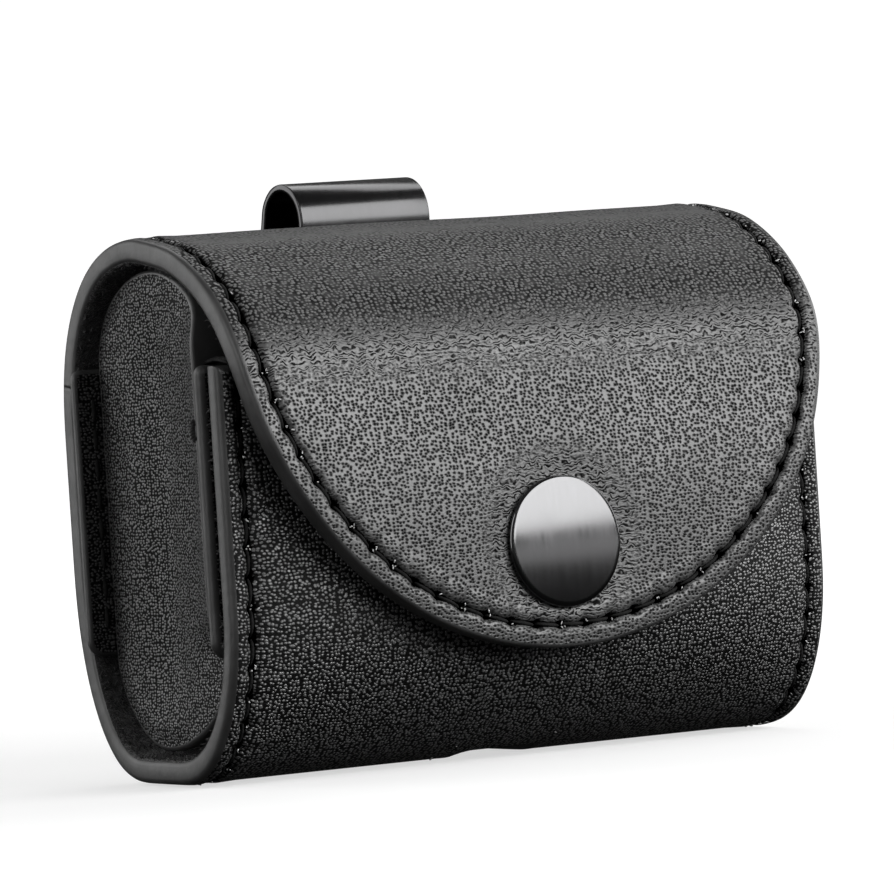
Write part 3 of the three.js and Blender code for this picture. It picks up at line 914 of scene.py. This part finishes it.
def even_outline(points, step):
    """The same closed outline with points at an even spacing."""
    closed = points + [points[0]]
    lengths = [0.0]
    for a, b in zip(closed, closed[1:]):
        lengths.append(lengths[-1] + (b - a).length)
    count = round(lengths[-1] / step)
    result, k = [], 0
    for i in range(count):
        s = lengths[-1] * i / count
        while lengths[k + 1] < s:
            k += 1
        span = max(1e-9, lengths[k + 1] - lengths[k])
        result.append(closed[k].lerp(closed[k + 1], (s - lengths[k]) / span))
    return result


def bezier(a, b, c, d):
    steps = 24
    points = []
    for i in range(steps):
        t = i / steps
        weights = ((1 - t) ** 3, 3 * t * (1 - t) ** 2, 3 * t * t * (1 - t), t ** 3)
        points.append(Vector([sum(w * p[axis] for w, p in zip(weights, (a, b, c, d)))
                              for axis in (0, 1)]))
    return points


def gusset_outline():
    middle = (GUSSET_FRONT + GUSSET_BACK) / 2
    half = (GUSSET_BACK - GUSSET_FRONT) / 2
    points = bezier((GUSSET_FRONT, FLANGE_LOW), (GUSSET_FRONT, FLANGE_LOW - 6),
                    (TONGUE_Y - 6, TONGUE_LOW), (TONGUE_Y, TONGUE_LOW))
    points += bezier((TONGUE_Y, TONGUE_LOW), (TONGUE_Y + 5, TONGUE_LOW),
                     (GUSSET_BACK, FLANGE_LOW - 4), (GUSSET_BACK, FLANGE_LOW))
    for i in range(33):
        turn = math.pi * i / 32
        points.append(Vector((middle + half * math.cos(turn),
                              FLANGE_HIGH + (ARCH_TOP - FLANGE_HIGH) * math.sin(turn))))
    return even_outline(points, 0.55)


def gusset_surface(p, inset):
    """The panel folds in down its middle, swells beside the back seam, and sweeps outward
    to the tip of the front flange."""
    middle = (GUSSET_FRONT + GUSSET_BACK) / 2
    upright = smooth(4, 14, p.y) * (1 - smooth(40, 50, p.y))
    fold = -0.9 * math.exp(-((p.x - middle - 0.6) / 3.6) ** 2) * upright
    dish = 0.25 * noise.noise(Vector((p.x * 0.16, p.y * 0.09, 5.0)))
    sink = -0.35 * (1 - smooth(0.5, 2.6, inset)) * smooth(middle - 4, middle, p.x)
    sweep = smooth(12.6, 17, p.y) * (1 - smooth(43, 50, p.y))
    flare = 2.1 * math.exp(-(max(0.0, p.x - GUSSET_FRONT) / 3.4) ** 1.6) * sweep
    return fold + dish * smooth(1, 4, inset) + sink + flare


def bar_outline(low, high, left, right, top_corner, low_corner):
    """A rounded upright bar in the X-Z plane, anticlockwise."""
    corners = [((right - low_corner, low + low_corner), low_corner, -90),
               ((right - top_corner, high - top_corner), top_corner, 0),
               ((left + 0.5, high - 0.5), 0.5, 90), ((left + 0.5, low + 0.5), 0.5, 180)]
    points = []
    for (x, z), r, start in corners:
        for i in range(9):
            turn = math.radians(start + 90 * i / 8)
            points.append(Vector((x + r * math.cos(turn), z + r * math.sin(turn))))
    return even_outline(points, 0.4)


GUSSET_THICK = 2.0
FLANGE_ROOT = 31.8
for side_name, sign in (("left", -1), ("right", 1)):
    gusset = slab_piece(
        f"{side_name}_gusset_panel", gusset_outline(), ((1.1, 15.5), (1.1, 39.0)), GUSSET_THICK, 0.45,
        lambda y, z, out: (sign * (GUSSET_X - GUSSET_THICK + out), y, z),
        [side_leather, edge_paint, microfibre], gusset_surface)
    finish_piece(gusset, "case", "black_leather",
                 f"{side_name}_gusset", f"{side_name}_gusset_lining")
    bar = bar_outline(FLANGE_LOW - 0.2, FLANGE_HIGH, FLANGE_ROOT, FLANGE_TIP, 0.9, 1.7)
    for end, y, facing, thick, edge, fill in (("front", GUSSET_FRONT - 1.6, 1, 1.55, 0.77, 4),
                                              ("back", GUSSET_BACK + 1.0, -1, 0.95, 0.42, 6)):
        flange = slab_piece(
            f"{side_name}_{end}_flange", bar, ((33.0, 15), (33.0, 39)), thick, edge,
            lambda x, z, out: (sign * x, y + facing * out, z),
            [side_leather, edge_paint, side_leather], fill=fill)
        finish_piece(flange, "case", "black_leather")

    def groove_place(along, side, depth):
        return (sign * (34.9 - depth), GUSSET_FRONT - 2.05 + side, along)

    def crease_place(along, side, depth):
        return (sign * (GUSSET_X + 0.35 + side), GUSSET_BACK - 0.05 + depth * 0.6, along)

    runs = seam(groove_place, FLANGE_LOW + 1.0, FLANGE_HIGH - 0.5, radius=0.36, slant=0.14)
    runs += seam(crease_place, FLANGE_LOW + 0.6, FLANGE_HIGH - 0.5, radius=0.3, slant=0.05)
    for turn in range(5):
        # The back-tack: loops of thread over the top of the front seam.
        x = sign * (FRONT_HALF - 1.5 - 0.3 * turn)
        lift = FLANGE_HIGH + 0.25 + 0.12 * (turn % 2)
        route = [(x, GUSSET_FRONT - 0.1, lift - 0.9), (x, GUSSET_FRONT - 0.3, lift),
                 (x + 0.1, GUSSET_FRONT - 1.9, lift + 0.25), (x, FRONT_Y + 1.2, lift + 0.1),
                 (x, FRONT_Y + 0.1, lift - 0.1), (x, FRONT_Y - 0.1, lift - 1.0)]
        runs.append((route, [0.17] * len(route)))
    finish_piece(thread_piece(f"{side_name}_side_stitches", runs), "case", "thread",
                 f"{side_name}_seam_tack")

knot = []
for turn in range(7):
    lean = random.uniform(-0.25, 0.25)
    z = 35.2 + 0.28 * (turn - 3)
    knot.append(([(-35.0, GUSSET_FRONT + 0.1, z), (-35.5, GUSSET_FRONT + 0.6 + lean, z + 0.1),
                  (-35.3, GUSSET_FRONT + 1.3 + lean, z - 0.1), (-34.5, GUSSET_FRONT + 1.5, z)],
                 [0.2, 0.24, 0.24, 0.16]))
finish_piece(thread_piece("seam_knot", knot), "case", "thread")

# ---------------------------------------------------------------- nap of the lining

NAP_PER_MM = 16


def nap_piece(name, first, last):
    """Short tousled fibres on the lining beside both side edges of the strip."""
    runs = []
    for sign in (-1, 1):
        for _ in range(int((last - first) * NAP_PER_MM)):
            s = random.uniform(first, last)
            inset = 0.35 + 4.2 * random.random() ** 1.4
            x = sign * (half_width(s) - inset)
            crown = panel_crown(x, s)
            root = Vector(place_on_strip(x, s, THICKNESS - 0.08 - crown))
            tip_s = min(strip.length, max(0.0, s + random.uniform(-0.6, 0.6)))
            tip = Vector(place_on_strip(x + random.uniform(-0.5, 0.5), tip_s,
                                        THICKNESS + random.uniform(0.15, 0.42) - crown))
            middle = root.lerp(tip, 0.55) + Vector((random.uniform(-0.15, 0.15), 0, 0.06))
            thick = random.uniform(0.035, 0.07)
            runs.append(([root, middle, tip], [thick, thick, thick * 0.4]))
    return thread_piece(name, runs, nap_fibre, sides=3)


finish_piece(nap_piece("shell_nap", 2.0, join_s), "case", "microfibre")
flap_nap = nap_piece("flap_nap", join_s, centre_s)
bends_with_flap(flap_nap, "microfibre")

# ---------------------------------------------------------------- snap

def turned_piece(name, outline, centre, normal, body, node, sides=96):
    """A round metal piece from (radius, height) pairs, height along `normal`."""
    outward = Vector(normal).normalized()
    across = Vector((1, 0, 0))
    up = outward.cross(across).normalized() * -1
    points = []
    for r, h in outline:
        for x, y in circle(sides):
            points.append(Vector(centre) + across * (r * x) + up * (r * y) + outward * h)
    piece = clean(make_piece(name, points, ring_faces(len(outline), sides), [gunmetal]))
    finish_piece(piece, body, "gunmetal", node)


def rounded(points, radius):
    """Replaces each inner corner of a (radius, height) line by a small arc."""
    steps = 5
    result = [points[0]]
    for a, b, c in zip(points, points[1:], points[2:]):
        a, b, c = Vector(a), Vector(b), Vector(c)
        reach = min(radius, (a - b).length * 0.45, (c - b).length * 0.45)
        start = b + (a - b).normalized() * reach
        end = b + (c - b).normalized() * reach
        for i in range(steps + 1):
            t = i / steps
            result.append(tuple(start.lerp(b, t).lerp(b.lerp(end, t), t)))
    return result + [points[-1]]


snap_point, snap_normal = strip.at(
    strip.where(lambda p: p.x < FRONT_Y - 3 and p.y < SNAP_Z))
cap_base = snap_point - snap_normal * 0.15
cap_line = [(0.0, 1.02)]
for i in range(1, 19):
    r = (CAP_RADIUS - 0.22) * i / 18
    cap_line.append((r, 1.02 - 0.44 * (r / CAP_RADIUS) ** 2))
cap_line += [(CAP_RADIUS - 0.1, 0.52), (CAP_RADIUS - 0.02, 0.4), (CAP_RADIUS, 0.2),
             (CAP_RADIUS - 0.1, 0.05), (CAP_RADIUS - 0.9, 0.0), (1.4, -0.1), (1.4, -2.3),
             (0.0, -2.3)]
turned_piece("snap_cap_dome", cap_line, (SNAP_X, cap_base.x, cap_base.y),
             (0, snap_normal.x, snap_normal.y), "flap", "snap_cap", 160)

FRONT_NORMAL = (0, -1, 0)
panel_face = FRONT_Y - SNAP_SEAT
stud_line = rounded([(0.0, 1.15), (1.6, 1.15), (1.95, 0.8), (1.55, 0.42), (4.0, 0.36),
                     (4.2, 0.15), (4.0, 0.0), (0.0, 0.0)], 0.16)
turned_piece("snap_stud_body", stud_line, (SNAP_X, panel_face - 0.2, SNAP_Z),
             FRONT_NORMAL, "case", "snap_stud")
socket_line = rounded([(2.5, 0.12), (2.75, 0.02), (3.9, 0.0), (4.4, 0.3), (4.4, 0.65), (4.0, 0.95),
                       (2.9, 0.95), (2.5, 0.7), (2.5, 0.12)], 0.14)
turned_piece("snap_socket_ring", socket_line, (SNAP_X, panel_face - 0.95, SNAP_Z),
             FRONT_NORMAL, "flap", "snap_socket")
post_line = rounded([(0.0, 0.0), (4.2, 0.0), (4.5, 0.3), (4.5, 0.65), (4.1, 0.85), (1.2, 0.9),
                     (1.2, 3.2), (0.0, 3.2)], 0.18)
turned_piece("snap_post_body", post_line, (SNAP_X, panel_face + THICKNESS + 0.95, SNAP_Z),
             FRONT_NORMAL, "case", "snap_post")

# ---------------------------------------------------------------- belt clip

def bend_point(degrees):
    turn = math.radians(degrees)
    return (BEND_Y - BEND_RADIUS * math.cos(turn), BEND_Z + BEND_RADIUS * math.sin(turn))


leaf_line = []
for i in range(60):
    s = mix(strip.where(lambda p: p.x > 8 and p.y > 14.5),
            strip.where(lambda p: p.x > 0 and p.y > 49), i / 59)
    point, normal = strip.at(s)
    leaf_line.append(tuple(point + normal * 0.7))
clip_path = Path(
    spline(leaf_line[::6] + [leaf_line[-1], (13, 52.2)] + [bend_point(a) for a in range(0, 151, 30)]
           + [bend_point(176), (20.9, 50), (21.3, 45), (21, 38), (20.2, 28), (19.1, 19.5),
              (18.95, 17), (19.8, 14.5), (20.9, 13)], 12), 0.35)


def clip_piece():
    """A rolled strip with softened edges and rounded ends."""
    half = CLIP_WIDTH / 2
    edge = 0.16
    ring = []
    for sign in (1, -1):
        for a in range(-90, 91, 30):
            turn = math.radians(a)
            x = half - edge + edge * math.cos(turn)
            out = (STEEL / 2 - edge) * ((a > 0) - (a < 0)) + edge * math.sin(turn)
            ring.append((sign * x, sign * out))
    points = []
    steps = evenly(0, clip_path.length, 0.35)
    for s in steps:
        point, normal = clip_path.at(s)
        ends = min(s, clip_path.length - s)
        squeeze = 1 - edge_round(ends, CLIP_CORNER) / half
        for x, out in ring:
            spot = point + normal * out
            points.append((x * squeeze, spot.x, spot.y))
    n = len(ring)
    faces = ring_faces(len(steps), n)
    faces += [tuple(range(n))[::-1], tuple(range(len(points) - n, len(points)))]
    return clean(make_piece("belt_clip", points, faces, [black_steel]))


clip = clip_piece()
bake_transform(clip)
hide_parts("clip_base_leaf", "clip_spring_leaf")

for place, z in RIVET_HEIGHTS.items():
    head = rounded([(0.0, 0.75), (1.5, 0.6), (2.6, 0.05), (2.5, -0.05), (1.3, -0.05), (1.3, -3.4),
                    (0.0, -3.4)], 0.3)
    turned_piece(f"rivet_{place}", head, (0, BACK_Y + 1.15, z), (0, 1, 0),
                 "case", f"clip_rivet_{place}")
    ring_line = rounded([(1.5, 0.0), (3.6, 0.0), (3.6, 0.5), (1.5, 0.5), (1.5, 0.0)], 0.15)
    turned_piece(f"washer_{place}", ring_line, (0, BACK_Y - THICKNESS - 0.05, z),
                 FRONT_NORMAL, "case", f"clip_washer_{place}")

# ---------------------------------------------------------------- floor, light and camera

def studio_material():
    """Pale card that glows a little, so that it stays pale far from the lights."""
    n = Nodes("studio_card")
    place = n.add("TexCoord").outputs["Object"]
    reach = n.add("VectorMath", {0: place}, operation="LENGTH").outputs["Value"]
    fade = n.add("MapRange", {"Value": reach, "From Min": 0.1, "From Max": 0.5,
                              "To Min": 0.62, "To Max": 1.0}).outputs["Result"]
    n.give("Emission Strength", fade)
    n.give("Emission Color", grey(1.0))
    n.give("Base Color", grey(0.4))
    n.give("Roughness", 0.9)
    n.give("Specular IOR Level", 0.0)
    return n.material


def studio_floor():
    """A round floor that curves up into a wall."""
    line = [(0, 0), (0.6, 0), (1.6, 0)]
    line += [(1.6 + 0.6 * math.sin(math.radians(a)), 0.6 - 0.6 * math.cos(math.radians(a)))
             for a in range(10, 91, 10)]
    line += [(2.2, 1.6), (2.2, 2.6)]
    sides = 64
    points = [(r * x, r * y, z - 0.0003) for r, z in line for x, y in circle(sides)]
    faces = ring_faces(len(line), sides)
    floor = make_piece("floor", points, faces, [studio_material()], metres=True)
    floor.visible_glossy = False
    floor.visible_diffuse = False
    return floor


studio_floor()

world = bpy.data.worlds.new("studio")
bpy.context.scene.world = world
world.use_nodes = True
sky = world.node_tree
direction = sky.nodes.new("ShaderNodeTexCoord").outputs["Generated"]
split = sky.nodes.new("ShaderNodeSeparateXYZ")
sky.links.new(direction, split.inputs["Vector"])
rise = sky.nodes.new("ShaderNodeMapRange")
sky.links.new(split.outputs["Z"], rise.inputs["Value"])
for key, value in (("From Min", -0.22), ("From Max", -0.02), ("To Min", 0.02), ("To Max", 0.12)):
    rise.inputs[key].default_value = value
sky.links.new(rise.outputs["Result"], sky.nodes["Background"].inputs["Strength"])
sky.nodes["Background"].inputs["Color"].default_value = (1, 1, 1, 1)


def toward(azimuth, elevation):
    """The direction of a compass angle and a height angle in degrees, 0 being the front."""
    a, e = math.radians(azimuth), math.radians(elevation)
    return Vector((math.sin(a) * math.cos(e), -math.cos(a) * math.cos(e), math.sin(e)))


def soft_box(name, azimuth, elevation, distance, width, height, radiance):
    """A rectangular light aimed at the pouch, with positive azimuths to the right."""
    data = bpy.data.lights.new(name, "AREA")
    data.shape = "RECTANGLE"
    data.size = width
    data.size_y = height
    data.energy = radiance * math.pi * width * height
    lamp = bpy.data.objects.new(name, data)
    bpy.context.scene.collection.objects.link(lamp)
    aim = Vector((0, 0, 0.027))
    lamp.location = aim + distance * toward(azimuth, elevation)
    lamp.rotation_euler = (aim - lamp.location).to_track_quat("-Z", "Y").to_euler()


soft_box("front", 27, 22.6, 0.6, 0.62, 0.38, 6.1)
soft_box("back_top", 132, 54, 0.7, 0.6, 0.22, 3.6)
soft_box("side_left", -140, 18, 0.6, 0.4, 0.5, 2.4)
soft_box("left_fill", -80, 20, 0.6, 0.26, 0.5, 2.6)
soft_box("low_front", 36, 0.3, 0.6, 0.6, 0.045, 1.1)
soft_box("rim_right", 88, 20, 0.6, 0.3, 0.4, 4.0)

AZIMUTH = -33.008
ELEVATION = 1.48
ROLL = math.radians(-3.667)
DISTANCE = 801.246
FOCAL = 7859.246
FRAME_WIDTH = 894
SENSOR = 36.0

back = toward(AZIMUTH, ELEVATION)
right = (-back).cross(Vector((0, 0, 1))).normalized()
up = right.cross(-back)
rolled_right = right * math.cos(ROLL) + up * math.sin(ROLL)
rolled_up = up * math.cos(ROLL) - right * math.sin(ROLL)
camera_data = bpy.data.cameras.new("camera")
camera_data.sensor_width = SENSOR
camera_data.lens = FOCAL * SENSOR / FRAME_WIDTH
camera_data.clip_start = 0.05
camera_data.clip_end = 20
camera = bpy.data.objects.new("camera", camera_data)
bpy.context.scene.collection.objects.link(camera)
spot = to_metres(0, 0, 27.25) + (back * DISTANCE + rolled_up * 4.07 - rolled_right * 0.11) * MM
camera.matrix_world = Matrix((
    (rolled_right.x, rolled_up.x, back.x, spot.x),
    (rolled_right.y, rolled_up.y, back.y, spot.y),
    (rolled_right.z, rolled_up.z, back.z, spot.z),
    (0, 0, 0, 1)))
bpy.context.scene.camera = camera
bpy.context.scene.view_settings.view_transform = "Standard"
